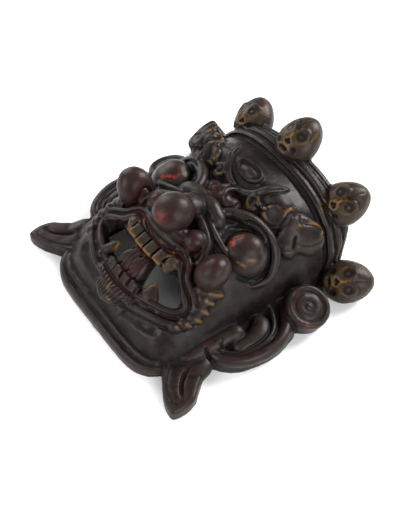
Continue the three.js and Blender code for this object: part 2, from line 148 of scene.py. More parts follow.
def face_height(x, y):
    """Height of the plain face over the back, before its features are carved."""
    u = np.minimum(np.abs(x) / HALF_WIDTH, 1.0)
    distance = y - chin_edge(x) * np.clip(1 - y / JAW_FADE, 0, None)
    dome = (1 - u ** DOME_ROUNDNESS) ** (1 / DOME_ROUNDNESS)
    lift = 0.6 * (1 - dome) * np.clip(1 - distance / 20, 0, 1)
    return np.interp(distance, MIDLINE_Y, MIDLINE_Z) * (dome + lift)


def on_face(x, y, rise=0.0):
    """A point over the plain face at a place of the plan."""
    return Vector((x, y, float(face_height(x, y)) + rise))


def laid(points, side=1):
    """Plan points with a rise, laid on the plain face on one side of the midline."""
    return [on_face(side * x, y, rise) for x, y, rise in points]


def face_normal(point):
    """Which way the plain face looks at a point."""
    step = 1.5
    x, y = point.x, point.y
    slope_x = (face_height(x + step, y) - face_height(x - step, y)) / (2 * step)
    slope_y = (face_height(x, y + step) - face_height(x, y - step)) / (2 * step)
    return Vector((-slope_x, -slope_y, 1)).normalized()


def front_normals(plan):
    """The same for many plan places at once."""
    step = 1.5
    x, y = plan[:, 0], plan[:, 1]
    slopes = np.stack([
        (face_height(x - step, y) - face_height(x + step, y)) / (2 * step),
        (face_height(x, y - step) - face_height(x, y + step)) / (2 * step),
        np.ones(len(x)),
    ], axis=1)
    return slopes / np.linalg.norm(slopes, axis=1)[:, None]


def upward(point):
    return Vector((0, 0, 1))


def soft_path(points, closed=False, step=2.0):
    """Points on a smooth curve through the given ones, about a step apart."""
    points = [Vector(p) for p in points]
    if closed:
        ring = [points[-1]] + points + points[:2]
    else:
        ring = [points[0] * 2 - points[1]] + points + [points[-1] * 2 - points[-2]]
    line = []
    for before, start, end, after in zip(ring, ring[1:], ring[2:], ring[3:]):
        count = max(1, round((end - start).length / step))
        line += [catmull(before, start, end, after, i / count) for i in range(count)]
    if not closed:
        line.append(points[-1])
    return line


def value_at(values, share):
    """A value between evenly spaced ones."""
    place = share * (len(values) - 1)
    return float(np.interp(place, range(len(values)), values))


# Solid forms, each a closed shell made on its own and then added to the carving

def add_form(bm, form):
    """Moves a finished form into the carving."""
    mesh = bpy.data.meshes.new("form")
    form.to_mesh(mesh)
    form.free()
    bm.from_mesh(mesh)
    bpy.data.meshes.remove(mesh)


def add_egg(bm, center, radii, turn=(0, 0, 0), within=Matrix(), taper=(0, 0)):
    """An egg of three radii; the taper widens and deepens it towards its +Y end."""
    place = within @ Matrix.Translation(center) @ Euler(turn).to_matrix().to_4x4()
    place = place @ Matrix.Diagonal((*radii, 1))
    form = bmesh.new()
    bmesh.ops.create_uvsphere(form, u_segments=32, v_segments=20, radius=1)
    for v in form.verts:
        v.co.x *= 1 + taper[0] * v.co.y
        v.co.z *= 1 + taper[1] * v.co.y
    bmesh.ops.transform(form, matrix=place, verts=form.verts)
    add_form(bm, form)


def add_roll(bm, path, widths, heights, outward=face_normal, closed=False, sides=14, within=Matrix()):
    """A tapered roll of half widths and half heights along a path."""
    line = soft_path(path, closed)
    form = bmesh.new()
    loops = []
    for i, point in enumerate(line):
        share = i / (len(line) - 1)
        behind = line[i - 1] if i or closed else point
        ahead = line[(i + 1) % len(line)] if i < len(line) - 1 or closed else point
        along = (ahead - behind).normalized()
        across = along.cross(outward(point)).normalized()
        out = across.cross(along)
        inward = min(1.0, 2.0 * min(i, len(line) - 1 - i) / max(widths) + 0.05)
        end = 1.0 if closed else math.sqrt(1 - (1 - inward) ** 2)
        size = (value_at(widths, share) * end, value_at(heights, share) * end)
        place = Matrix((across * size[0], out * size[1], along)).transposed().to_4x4()
        place.translation = point
        cap = not closed and i in (0, len(line) - 1)
        made = bmesh.ops.create_circle(
            form, cap_ends=cap, segments=sides, radius=1, matrix=within @ place,
        )
        ring = set(made["verts"])
        loops.append([e for e in {e for v in ring for e in v.link_edges} if set(e.verts) <= ring])
    pairs = list(zip(loops, loops[1:]))
    if closed:
        pairs.append((loops[-1], loops[0]))
    for one, other in pairs:
        bmesh.ops.bridge_loops(form, edges=one + other)
    add_form(bm, form)


def add_board(bm, outline, bottom, top, rounding=0.0):
    """A board cut to a smooth outline, with its upper edge rounded."""
    form = bmesh.new()
    line = soft_path([(*p, 0) for p in outline], True, 3)
    corners = [form.verts.new((p.x, p.y, bottom)) for p in line]
    face = bmesh.ops.contextual_create(form, geom=corners)["faces"][0]
    grown = bmesh.ops.extrude_face_region(form, geom=[face], use_keep_orig=True)["geom"]
    lid = [g for g in grown if isinstance(g, bmesh.types.BMVert)]
    bmesh.ops.translate(form, verts=lid, vec=(0, 0, top - bottom))
    if rounding:
        edges = [g for g in grown if isinstance(g, bmesh.types.BMEdge)]
        bmesh.ops.bevel(form, geom=edges, offset=rounding, offset_type="OFFSET", affect="EDGES",
                        segments=4, profile=0.5, material=-1)
    add_form(bm, form)


def add_block(bm, inset, height, bottom, columns, rows):
    """The rounded-square block of the face, flat below, with its top at the given height."""
    made = bmesh.ops.create_grid(bm, x_segments=columns, y_segments=rows, size=1)
    verts = made["verts"]
    plan = np.array([v.co.xy for v in verts])
    reach = np.abs(plan).max(axis=1)
    norm = (np.abs(plan) ** PLAN_SQUARENESS).sum(axis=1) ** (1 / PLAN_SQUARENESS)
    eased = (1 - (1 - reach) ** 1.7) / np.maximum(norm, 1e-6)
    x = (HALF_WIDTH - inset) * plan[:, 0] * eased
    y = LENGTH / 2 + (LENGTH / 2 - inset) * plan[:, 1] * eased
    z = height(x, y)
    for v, place in zip(verts, zip(x, y, z)):
        v.co = place
    rim = [e for e in {e for v in verts for e in v.link_edges} if e.is_boundary]
    wall = bmesh.ops.extrude_edge_only(bm, edges=rim)["geom"]
    foot = [g for g in wall if isinstance(g, bmesh.types.BMVert)]
    for v in foot:
        v.co.z = bottom
    feet = set(foot)
    sill = [e for e in {e for v in foot for e in v.link_edges} if set(e.verts) <= feet]
    bmesh.ops.contextual_create(bm, geom=sill)


def sided(points, side):
    """Points drawn for the right, or their mirror image for the left."""
    return [(side * p[0], *p[1:]) for p in points]


# Mouth lines on the right half, from the midline round the corner and back
LIP_LINE = [
    (0, 94), (16, 97), (33, 104), (44, 104), (51, 100), (59, 92), (80, 86), (86, 78),
    (84, 68), (74, 58), (56, 49), (30, 41), (0, 37),
]
OPENING = [
    (22, 57), (34, 58), (50, 60), (61, 64), (70, 71), (72, 77), (69, 82), (60, 86), (46, 92),
    (34, 86), (9, 84),
]
FAR_OPENING = [
    (-23, 62), (-36, 62), (-48, 63), (-58, 66), (-66, 72), (-66, 79), (-57, 84), (-40, 84),
    (-22, 82),
]


def lip_loop(offset, rise):
    """The whole lip line, moved outward in plan."""
    half = [Vector(p) for p in LIP_LINE]
    right = []
    for i, point in enumerate(half):
        ahead = half[i + 1] if i + 1 < len(half) else Vector((-half[i - 1].x, half[i - 1].y))
        behind = half[i - 1] if i else Vector((-half[1].x, half[1].y))
        along = (ahead - behind).normalized()
        moved = point + Vector((-along.y, along.x)) * offset
        right.append((max(moved.x, 0) if 0 < i < len(half) - 1 else 0.0, moved.y))
    left = [(-x, y) for x, y in right[1:-1]][::-1]
    return [on_face(x, y, rise) for x, y in right + left]


def depth_in_loop(x, y, loop):
    """How far inside a closed plan line each point lies, in millimetres, zero outside."""
    inside = np.zeros(x.shape, bool)
    nearest = np.full(x.shape, 1e9)
    for (ax, ay), (bx, by) in zip(loop, loop[1:] + loop[:1]):
        length = max((bx - ax) ** 2 + (by - ay) ** 2, 1e-9)
        share = np.clip(((x - ax) * (bx - ax) + (y - ay) * (by - ay)) / length, 0, 1)
        gap = np.hypot(x - ax - share * (bx - ax), y - ay - share * (by - ay))
        nearest = np.minimum(nearest, gap)
        if ay != by:
            crossing = ((ay > y) != (by > y)) & (x < (bx - ax) * (y - ay) / (by - ay) + ax)
            inside ^= crossing
    return np.where(inside, nearest, 0)


def carved_height(x, y):
    """The face with its eye pits and the hollow of the mouth already sunk."""
    z = face_height(x, y)
    for side in (1, -1):
        away = np.hypot(x - side * EYE[0], y - EYE[1]) / PIT_RADIUS
        z = z - PIT_DEPTH * np.clip(1 - away ** 4, 0, 1)
    lips = [(p.x, p.y) for p in soft_path(lip_loop(-LIP_INSIDE, 0), True, 3)]
    sunk = np.clip(depth_in_loop(x, y, lips) / MOUTH_SLOPE, 0, 1)
    return z - MOUTH_DEPTH * sunk ** 0.8


def hollow_height(x, y):
    """The roof of the hollow in the back."""
    return np.maximum(1, face_height(x * 1.06, y + 3) - HOLLOW_UNDER_FACE)


# Features of the face

def add_chin(bm):
    reach = HALF_WIDTH - 6
    for inset, width, height, lift in ((5.0, 4.2, 7.0, 11), (14.5, 4.6, 6.0, 13)):
        path = []
        for i in range(-8, 9):
            x = (reach - inset * 0.6) * math.sin(i / 8 * math.pi / 2)
            y = float(chin_edge(x)) + inset
            path.append((x, y, max(lift, float(face_height(x, y)) - 1)))
        add_roll(bm, path, [width], [height], outward=upward)


def add_goatee(bm):
    root = [(x, 33 + abs(x) * 0.16, 56) for x in (-36, -24, -12, 0, 12, 24, 36)]
    add_roll(bm, root, [6, 9, 10, 10.5, 10, 9, 6], [5, 6.5, 7, 7, 7, 6.5, 5], outward=upward)
    fringe = [(x, 23 + abs(x) * 0.3, 49) for x in (-26, -13, 0, 13, 26)]
    add_roll(bm, fringe, [5, 8, 9, 8, 5], [5, 6.5, 7.5, 6.5, 5], outward=upward)


def add_lips(bm):
    add_roll(bm, lip_loop(-4.8, 0.5), [4.8], [5.0], closed=True)
    add_roll(bm, lip_loop(4.8, 0), [4.9], [6.2], closed=True)
    upper = laid([(-44, 112, 3), (-33, 113, 3), (-16, 106, 3), (0, 103, 3), (16, 106, 3),
                  (33, 113, 3), (44, 112, 3)])
    add_roll(bm, upper, [4, 6, 6, 6, 6, 6, 4], [5, 7, 7, 7, 7, 7, 5])


def add_teeth(bm):
    for i in range(4):
        x = (i - 1.5) * TOOTH_WIDTH
        back = abs(i - 1.5)
        add_tooth(bm, (x, 84 + back * 1.6, 93.5 - back * 0.4), (TOOTH_WIDTH * 0.47, 8.5, 5.5), 0.36)
        add_tooth(bm, (x * 0.95, 46.5 + back * 1.2, 63 - back * 0.6), (TOOTH_WIDTH * 0.47, 9.0, 5.5), 0.84)
    for side in (1, -1):
        upper = sided([(34, 101, 94), (36, 91, 93), (38.5, 81, 85)], side)
        add_roll(bm, upper, [10, 10.5, 4.5], [7, 7, 3], outward=upward)
        lower = sided([(46, 44, 54), (43, 55, 63), (37.5, 69, 72)], side)
        width = NEAR_FANG if side > 0 else FAR_FANG
        add_roll(bm, lower, [width, width, 5], [7, 6.5, 3.5], outward=upward)
    gums = [(-46, 103, 87), (-24, 100, 92), (0, 98, 93), (24, 100, 92), (46, 103, 87)]
    add_roll(bm, gums, [9], [8], outward=upward)
    lower_gums = [(-50, 51, 51), (-25, 43, 52), (0, 40, 53), (25, 43, 52), (50, 51, 51)]
    add_roll(bm, lower_gums, [8], [7], outward=upward)


def add_tooth(bm, center, half, lean):
    """A rounded block of three half sizes, leaning about the X axis."""
    place = Matrix.Translation(center) @ Matrix.Rotation(lean, 4, "X")
    place = place @ Matrix.Diagonal((2 * half[0], 2 * half[1], 2 * half[2], 1))
    form = bmesh.new()
    bmesh.ops.create_cube(form, size=1, matrix=place)
    bmesh.ops.bevel(form, geom=form.edges[:], offset=2.0, offset_type="OFFSET", affect="EDGES",
                    segments=3, profile=0.5, material=-1)
    add_form(bm, form)


def add_tongue(bm):
    for x in (-17, -12, -6, 0, 5, 10):
        path = [(x * 1.1, 42, 38), (x * 1.1, 54, 53), (x, 66, 64), (x * 0.75, 78, 69), (x * 0.5, 92, 70)]
        add_roll(bm, path, [10, 10, 9, 7, 5], [12], outward=upward, sides=20)


def add_nose(bm):
    add_egg(bm, NOSE, (NOSE_RADIUS, NOSE_RADIUS * 1.04, NOSE_RADIUS * 0.95))
    for side in (1, -1):
        add_egg(bm, (side * 35.5, 124.5, 107), (13.5, 13.5, 13))
        saddle = [(side * 8, 114, 120), (side * 21, 116, 112), (side * 33, 123, 107)]
        add_roll(bm, saddle, [14, 9, 9], [12, 9, 9], outward=upward)
        ridge = laid([(2, 157, 4), (20, 154, 4), (38, 149, 4), (58, 147, 2), (78, 148, 1)], side)
        add_roll(bm, ridge, [4.5, 5, 4.5, 3.5, 2.5], [5, 5.5, 5, 4, 3])
        flare = laid([(14, 147, 5), (30, 142, 4), (47, 134, 3), (56, 120, 2), (53, 108, 0)], side)
        add_roll(bm, flare, [7, 7, 6, 5, 3], [6, 6, 5, 5, 3])
    under = laid([(-42, 113, 2), (-24, 107, 6), (0, 104, 8), (24, 107, 6), (42, 113, 2)])
    add_roll(bm, under, [4.5, 6, 6.5, 6, 4.5], [6, 8, 9, 8, 6])
    bridge = [on_face(0, 163, 2), on_face(0, 148, 11), (0, 128, 126)]
    add_roll(bm, bridge, [13, 17, 19], [10, 13, 18])
    wrinkle = laid([(-40, 159, 1), (-28, 162, 6), (-10, 165, 8), (0, 164, 8), (10, 165, 8),
                    (28, 162, 6), (40, 159, 1)])
    add_roll(bm, wrinkle, [6, 9.5, 11, 10, 11, 9.5, 6], [5, 8, 9.5, 8.5, 9.5, 8, 5])


def add_cheeks(bm):
    for side in (1, -1):
        center = on_face(side * CHEEK[0], CHEEK[1], 14)
        add_egg(bm, center, (18.5, 22.5, 26), (0, side * 0.45, side * 0.3), taper=(-0.1, -0.08))


def add_eyes(bm):
    for side in (1, -1):
        center = on_face(side * EYE[0], EYE[1], -9)
        add_egg(bm, center, (EYE_RADIUS, EYE_RADIUS, 23), (0, side * 0.3, 0))
        pupil = on_face(side * PUPIL[0], PUPIL[1], 7.5)
        add_egg(bm, pupil, (PUPIL_RADIUS, PUPIL_RADIUS, 11), (0, side * 0.3, 0))
        lid = laid([(17, 150, 2), (21, 162, 4), (30, 181, 4), (50, 197, 5), (76, 203, 5),
                    (92, 197, 4), (101, 182, 3), (101, 165, 1), (98, 154, -3)], side)
        add_roll(bm, lid, [4, 6, 7.5, 8, 8, 7.5, 7, 5, 2], [4, 7, 8.5, 9, 9, 8, 7, 5, 2])


def add_frown(bm):
    add_egg(bm, on_face(0, 186, 0), (22, 13.5, 13))
    for side in (1, -1):
        add_egg(bm, on_face(side * 17, 191, 0), (11, 11, 9))
        ridge = laid([(11, 181, 9), (5, 190, 12), (3, 199, 10), (6, 209, 6)], side)
        add_roll(bm, ridge, [3, 4, 4.5, 2], [4, 5, 5, 3])


def add_spiral(bm, center, radius, turns, side):
    add_egg(bm, on_face(side * center[0], center[1], 0), (radius + 2, radius + 2, 6))
    path = [on_face(side * 50, 217, 3)]
    count = 26
    for i in range(count + 1):
        angle = 0.5 + i / count * turns * 2 * math.pi
        reach = radius * (1 - 0.7 * i / count)
        x = center[0] + reach * math.cos(angle)
        path.append(on_face(side * x, center[1] + reach * math.sin(angle), 5))
    add_roll(bm, path, [3.4, 2.8, 2.4, 2.0], [5, 4.5, 4.2, 4])


LOCKS = [
    [(44, 211), (53, 207.5), (63, 208.5), (71, 216), (74, 224), (73, 232), (64, 245), (61, 233),
     (53, 229), (46, 221)],
    [(74, 213), (80, 208.5), (91, 208), (98, 216), (98, 223), (103, 236), (105, 248), (104, 258),
     (99, 266), (91, 267), (84, 262), (77, 254), (72, 245), (71, 234), (73, 224)],
]
LOCK_RISES = (6.0, 7.5)
LOCK_EDGE = 7.0
LOCK_VEINS = [
    [(98, 263), (92, 254), (88, 244), (82, 236)],
    [(76, 243), (82, 240), (90, 240)],
]
SLAB = [(-82, 208, 96), (-88, 224, 99), (-92, 241, 101), (-94, 257, 102)]


def add_flames(bm):
    for side in (1, -1):
        add_spiral(bm, (31, 210.5), 7.5, 1.2, side)
    for k in range(4):
        shift = k * 7.0
        line = [(x + shift, y - shift * 0.35, z + shift * 0.25) for x, y, z in SLAB]
        add_roll(bm, line, [5.5, 6, 6, 5], [10, 11, 11, 9], outward=lambda p: Vector((-0.5, 0, 1)))


def raise_locks(surface):
    """Flame-like brow locks, raised as smooth leaves."""
    for side in (1, -1):
        for outline, rise in zip(LOCKS, LOCK_RISES):
            surface.raise_area(sided(outline, side), rise, LOCK_EDGE)
    surface.store()


def add_third_eye(bm):
    path = []
    for i in range(16):
        angle = i / 16 * 2 * math.pi
        path.append(on_face(20 * math.cos(angle), THIRD_EYE[1] + 9.5 * math.sin(angle), 3))
    add_roll(bm, path, [1.7], [1.6], closed=True, sides=10)
    add_egg(bm, on_face(0, THIRD_EYE[1], -2), (15, 7, 4.8))
    for side in (1, -1):
        ridge = laid([(0, 209, 3), (15, 212, 4), (27, 219, 4), (37, 231, 4), (46, 254, 2)], side)
        add_roll(bm, ridge, [5, 5, 5, 4.5, 2], [4, 3.6, 3, 2.6, 1])


def band_path(middle, foot, lift=0.0):
    """A line over the crown and down both side walls, parallel to the band."""
    arch_share = 0.72
    stations = 16
    path = []
    for k in range(-stations, stations + 1):
        share = abs(k) / stations
        y = middle - 16 * share ** 4
        reach = plan_half_width(y) - 1
        x = reach * math.sin(min(share / arch_share, 1) * math.pi / 2)
        drop = max(0.0, (share - arch_share) / (1 - arch_share))
        z = (float(face_height(x, y)) + lift) * (1 - drop) + foot * drop
        path.append((math.copysign(x, k), y, z))
    return path


def add_band(bm):
    for front, rear in zip(BAND_GROOVES, BAND_GROOVES[1:]):
        add_roll(bm, band_path((front + rear) / 2, 4), [(rear - front) * 0.56], [5.5],
                 outward=lambda p: Vector((p.x, 0, max(p.z - 24, 0.01))).normalized())


# Skulls: place, fan across the crown, raise from the back's plane, roll about the long axis
SKULLS = [
    ((0, 306, 130), 0, 34, 0),
    ((86, 307, 95), 27, 28, 28),
    ((-86, 307, 95), -27, 28, -28),
    ((138, 279, 18), 48, 16, 38),
    ((-138, 279, 18), -48, 16, -38),
]


def skull_frame(skull):
    """Where a skull stands: its own x across, y to its crown and z out of its face."""
    place, fan, rise, roll = skull
    turn = Matrix.Rotation(math.radians(-fan), 4, "Z") @ Matrix.Rotation(math.radians(rise), 4, "X")
    return Matrix.Translation(place) @ turn @ Matrix.Rotation(math.radians(roll), 4, "Y")


def add_skull(bm, skull):
    within = skull_frame(skull)
    width, length, depth = SKULL_SIZE
    half = length / 2
    add_egg(bm, (0, 0, 0), (width / 2, half, depth / 2), within=within, taper=(-0.12, -0.06))
    add_egg(bm, (0, -half * 0.8, -depth * 0.12), (16, 20, 13), within=within)
    add_egg(bm, (0, -half * 0.55, depth * 0.22), (width * 0.27, half * 0.36, 10), within=within)
    for side in (1, -1):
        ring = []
        for i in range(14):
            angle = i / 14 * 2 * math.pi
            x = SOCKET[0] + SOCKET_RING * math.cos(angle)
            y = SOCKET[1] + SOCKET_RING * math.sin(angle)
            z = depth / 2 * math.sqrt(1 - (x / width * 2) ** 2 - (y / half) ** 2)
            ring.append((side * x, y, z - 0.8))
        add_roll(bm, ring, [1.7], [1.3], outward=upward, closed=True, sides=8, within=within)
        add_egg(bm, (side * 12, -8.5, 14.5), (5, 4, 4), within=within)
        brow = [(side * 2, 8, 19.5), (side * 9, 14, 18.5), (side * 17, 11, 14.5)]
        add_roll(bm, brow, [2, 2.6, 1.5], [2, 2.6, 2], outward=upward, sides=8, within=within)
    add_roll(bm, [(0, 6, 19.5), (0, 0, 21), (0, -6, 21)], [2.2, 2.4, 3], [2, 2.5, 2.5],
             outward=upward, sides=10, within=within)
    lips = [(-8, -18, 14), (-4, -15.5, 17), (0, -15, 18.5), (4, -15.5, 17), (8, -18, 14),
            (5, -22.5, 13.5), (0, -24, 14.5), (-5, -22.5, 13.5)]
    add_roll(bm, lips, [1.6], [3.4], outward=upward, closed=True, sides=8, within=within)


BEARD_LOCKS = [
    ([(74, 95, 2), (82, 101, 6), (90, 110, 7), (96, 122, 4)], [6, 8, 7, 3]),
    ([(80, 92, 2), (89, 98, 6), (97, 108, 4)], [6, 7.5, 3.5]),
    ([(86, 84, 1), (93, 90, 6), (100, 98, 4)], [6, 7, 3.5]),
    ([(88, 74, 1), (95, 80, 6), (101, 88, 3)], [6, 7, 3.5]),
    ([(85, 64, 1), (92, 69, 5), (99, 77, 2)], [6, 7, 3.5]),
    ([(80, 55, 1), (87, 58, 4), (94, 64, 1)], [5.5, 6.5, 3]),
]


def add_beard(bm):
    for path, widths in BEARD_LOCKS:
        for side in (1, -1):
            add_roll(bm, laid(path, side), widths, [4, 6, 2])


# Ear: a leaf at the lobe, a scrolled helix and a round disc over it
LEAF_OUTLINE = [
    (96, 38), (103, 29), (121, 17), (135, 9), (149, 5), (158, 6), (161, 20), (158, 36),
    (148, 49), (139, 61), (134, 74), (126, 88), (100, 84),
]
HELIX_OUTLINE = [
    (98, 72), (118, 76), (139, 84), (154, 103), (161, 130), (162, 152), (157, 172),
    (151, 186), (126, 198), (98, 196),
]
HELIX_LINE = [
    (106, 195), (126, 190), (143, 179), (154, 163), (158, 143), (155, 118), (145, 98), (131, 87),
    (112, 84),
]
HELIX_RIDGE = [
    (108, 178), (122, 174), (136, 166), (146, 153), (149, 137), (146, 118), (138, 103), (125, 94),
]
EAR_LOBE = [(112, 154), (124, 154), (133, 147), (137, 134), (137, 120), (132, 108)]
ARM_LINE = [(100, 50), (109, 70), (115, 92), (119, 116), (122, 131)]
EAR_GROOVE = [
    (121, 101), (125, 97), (134, 99), (142, 109), (146, 124), (146, 141), (140, 156), (128, 165),
    (110, 168),
]


def add_ear(bm, side):
    add_board(bm, sided(LEAF_OUTLINE, side), 0, LEAF_HEIGHT, 5)
    add_board(bm, sided(HELIX_OUTLINE, side), 0, EAR_HEIGHT - 3, 4)
    helix = [(x, y, EAR_HEIGHT - 3) for x, y in HELIX_LINE]
    add_roll(bm, sided(helix, side), [6, 7.5, 8, 8, 8, 7.5, 7, 6, 5], [7, 9, 9, 9, 9, 8.5, 8, 7, 5],
             outward=upward)
    ridge = [(x, y, EAR_HEIGHT - 2) for x, y in HELIX_RIDGE]
    add_roll(bm, sided(ridge, side), [3, 3.4, 3.4, 3.4, 3.2, 3, 2.8, 2], [6, 7.5, 8, 8, 7.5, 7, 6.5, 5],
             outward=upward)
    lobe = [(x, y, EAR_HEIGHT - 2) for x, y in EAR_LOBE]
    add_roll(bm, sided(lobe, side), [9, 12, 13, 12.5, 10.5, 7.5], [9, 10.5, 11.5, 11, 10, 8],
             outward=upward, sides=20)
    arm = [(x, y, EAR_HEIGHT - 2 + 2 * i) for i, (x, y) in enumerate(ARM_LINE)]
    add_roll(bm, sided(arm, side), [12, 13, 12, 11, 10], [6, 8.5, 10, 10, 9], outward=upward, sides=24)
    add_roll(bm, sided([(124, 40, 10), (127, 62, 11), (124, 86, 13)], side), [20, 14, 10], [9, 10, 8],
             outward=upward, sides=24)
    add_disc(bm, side)


def add_disc(bm, side):
    """The round ear ornament, turned from a profile of radius and height."""
    rim = DISC_RADIUS
    profile = [
        (0, -30), (rim, -30), (rim, -4.5), (rim - 1.2, -1.2), (rim - 3.5, 0.4), (rim - 6.5, 0.2),
        (rim - 9, -1.6), (rim - 10, -3.0), (rim - 11, -1.8), (rim - 13, -0.4), (rim - 17, 0.2),
        (7, 0), (5.8, -1.2), (4.8, -1.2), (4.0, 0.2), (3.0, 1.0), (0, 1.2),
    ]
    height = DISC[2] if side > 0 else DISC[2] - FAR_DISC_DROP
    place = Matrix.Translation((side * DISC[0], DISC[1], height))
    place = place @ Matrix.Rotation(math.radians(side * DISC_TILT), 4, "Y")
    form = bmesh.new()
    verts = [form.verts.new((r, 0, h)) for r, h in profile]
    edges = [form.edges.new(pair) for pair in zip(verts, verts[1:])]
    bmesh.ops.spin(form, geom=verts + edges, cent=(0, 0, 0), axis=(0, 0, 1),
                   angle=2 * math.pi, steps=48, use_merge=True)
    bmesh.ops.remove_doubles(form, verts=form.verts, dist=0.01)
    bmesh.ops.transform(form, matrix=place, verts=form.verts)
    add_form(bm, form)


# Carving strokes

class Surface:
    """Points and normals of a piece, with its surface kept for draping lines on."""

    def __init__(self, piece):
        self.piece = piece
        mesh = piece.data
        count = len(mesh.vertices)
        self.points = np.empty(count * 3)
        mesh.vertices.foreach_get("co", self.points)
        self.points = self.points.reshape(-1, 3)
        self.normals = np.empty(count * 3)
        mesh.vertex_normals.foreach_get("vector", self.normals)
        self.normals = self.normals.reshape(-1, 3)
        corners = [tuple(p.vertices) for p in mesh.polygons]
        self.tree = BVHTree.FromPolygons([tuple(p) for p in self.points], corners)

    def drape(self, path, view=None, closed=False):
        """A line on the surface: drawn in plan and laid on from in front, or moved to the nearest wood."""
        view = view or Matrix()
        down = view.to_3x3() @ Vector((0, 0, -1))
        line = []
        if len(path[0]) == 3:
            found = [self.tree.find_nearest(p)[0] for p in soft_path(path, closed, 1.0)]
            return np.array(found)
        for point in soft_path([(p[0], p[1], 0) for p in path], closed, 1.0):
            start = view @ Vector((point.x, point.y, HIGH_ABOVE if view == Matrix() else SKULL_ABOVE))
            hit = self.tree.ray_cast(start, down)[0]
            if hit:
                line.append(hit)
        return np.array(line)

    def near(self, line, width):
        """Which points lie within a width of a line, how far off, and how far along it."""
        close = self.within(np.arange(len(self.points)), line, width)
        best = np.full(len(close), float(width))
        place = np.zeros(len(close))
        for start in range(0, len(line), 12):
            part = line[start:start + 12]
            inside = self.within(close, part, width, mask=True)
            gaps = np.linalg.norm(self.points[close[inside]][:, None, :] - part[None, :, :], axis=2)
            nearest = gaps.argmin(axis=1)
            distance = gaps[np.arange(len(nearest)), nearest]
            better = distance < best[inside]
            chosen = inside[better]
            best[chosen] = distance[better]
            place[chosen] = nearest[better] + start
        keep = best < width
        return close[keep], best[keep], place[keep] / max(1, len(line) - 1)

    def within(self, which, line, width, mask=False):
        low = line.min(axis=0) - width
        high = line.max(axis=0) + width
        points = self.points[which]
        inside = np.nonzero(((points >= low) & (points <= high)).all(axis=1))[0]
        return inside if mask else which[inside]

    def press(self, path, width, depth, view=None, closed=False, ends=0.18):
        """Sinks the surface under a drawn line, or raises it where the depth is negative."""
        line = self.drape(path, view, closed)
        if len(line) < 2:
            return
        which, distance, share = self.near(line, width)
        fall = (1 - (distance / width) ** 2) ** STROKE_FALL
        if not closed:
            fall = fall * np.clip(np.minimum(share, 1 - share) / ends + 0.12, 0, 1)
        self.points[which] -= self.normals[which] * (depth * fall)[:, None]

    def dent(self, center, radius, depth, view):
        """Sinks a round spot, or raises it where the depth is negative."""
        line = self.drape([center, (center[0] + 0.3, center[1])], view)
        if len(line) == 0:
            return
        which, distance, _ = self.near(line[:1], radius)
        fall = (1 - (distance / radius) ** 2) ** STROKE_FALL
        self.points[which] -= self.normals[which] * (depth * fall)[:, None]

    def raise_area(self, outline, height, edge):
        """Lifts the front inside a drawn outline, rounded off over an edge width."""
        line = [(p.x, p.y) for p in soft_path([(*p, 0) for p in outline], True, 1.5)]
        plan = self.points[:, :2]
        inside = ((plan > np.min(line, axis=0)) & (plan < np.max(line, axis=0))).all(axis=1)
        which = np.nonzero(inside & (self.normals[:, 2] > 0.05))[0]
        depth = depth_in_loop(plan[which, 0], plan[which, 1], line)
        share = np.clip(depth / edge, 0, 1)
        lift = height * np.sqrt(1 - (1 - share) ** 2)
        self.points[which] += front_normals(plan[which]) * lift[:, None]

    def store(self):
        self.piece.data.vertices.foreach_set("co", self.points.ravel())
        self.piece.data.update()


# Making and joining the wood

def new_piece(name, build):
    bm = bmesh.new()
    build(bm)
    bmesh.ops.recalc_face_normals(bm, faces=bm.faces)
    mesh = bpy.data.meshes.new(name)
    bm.to_mesh(mesh)
    bm.free()
    piece = bpy.data.objects.new(name, mesh)
    bpy.context.scene.collection.objects.link(piece)
    return piece


def apply_modifiers(piece):
    bpy.context.view_layer.update()
    shaped = piece.evaluated_get(bpy.context.evaluated_depsgraph_get())
    mesh = bpy.data.meshes.new_from_object(shaped)
    piece.modifiers.clear()
    old = piece.data
    piece.data = mesh
    bpy.data.meshes.remove(old)


def remesh(piece, voxel):
    change = piece.modifiers.new("one skin", "REMESH")
    change.mode = "VOXEL"
    change.voxel_size = voxel
    change.adaptivity = 0
    apply_modifiers(piece)


def smooth(piece, factor, rounds):
    change = piece.modifiers.new("smooth", "SMOOTH")
    change.factor = factor
    change.iterations = rounds
    apply_modifiers(piece)


def join(piece, other):
    bm = bmesh.new()
    bm.from_mesh(piece.data)
    bm.from_mesh(other.data)
    bm.to_mesh(piece.data)
    bm.free()
    bpy.data.objects.remove(other)


def cut(piece, cutter):
    change = piece.modifiers.new("cut", "BOOLEAN")
    change.operation = "DIFFERENCE"
    change.object = cutter
    change.solver = "MANIFOLD"
    apply_modifiers(piece)
    bpy.data.objects.remove(cutter)


def build_raised(bm):
    add_block(bm, 0, carved_height, 0, 150, 200)
    for add in (add_chin, add_goatee, add_lips, add_nose, add_cheeks, add_eyes, add_frown,
                add_flames, add_third_eye, add_band, add_beard):
        add(bm)
    for side in (1, -1):
        add_ear(bm, side)
    for skull in SKULLS:
        add_skull(bm, skull)


def build_cutters(bm):
    """What is cut away: the hollow, the two mouth openings and all below the back's plane."""
    add_block(bm, WALL, hollow_height, -30, 50, 70)
    for outline in (OPENING, FAR_OPENING):
        add_board(bm, outline, -6, 135)
    below = Matrix.Translation((0, LENGTH / 2, -30)) @ Matrix.Diagonal((420, 440, 60, 1))
    bmesh.ops.create_cube(bm, size=1, matrix=below)


def build_mouth(bm):
    add_teeth(bm)
    add_tongue(bm)


wood = new_piece("mask_carving", build_raised)
remesh(wood, ROUGH_VOXEL)
raise_locks(Surface(wood))
cutters = new_piece("mask_cutters", build_cutters)
remesh(cutters, ROUGH_VOXEL)
cut(wood, cutters)
join(wood, new_piece("mask_teeth", build_mouth))
remesh(wood, FINE_VOXEL)
smooth(wood, 0.5, 3)


# Fine carving

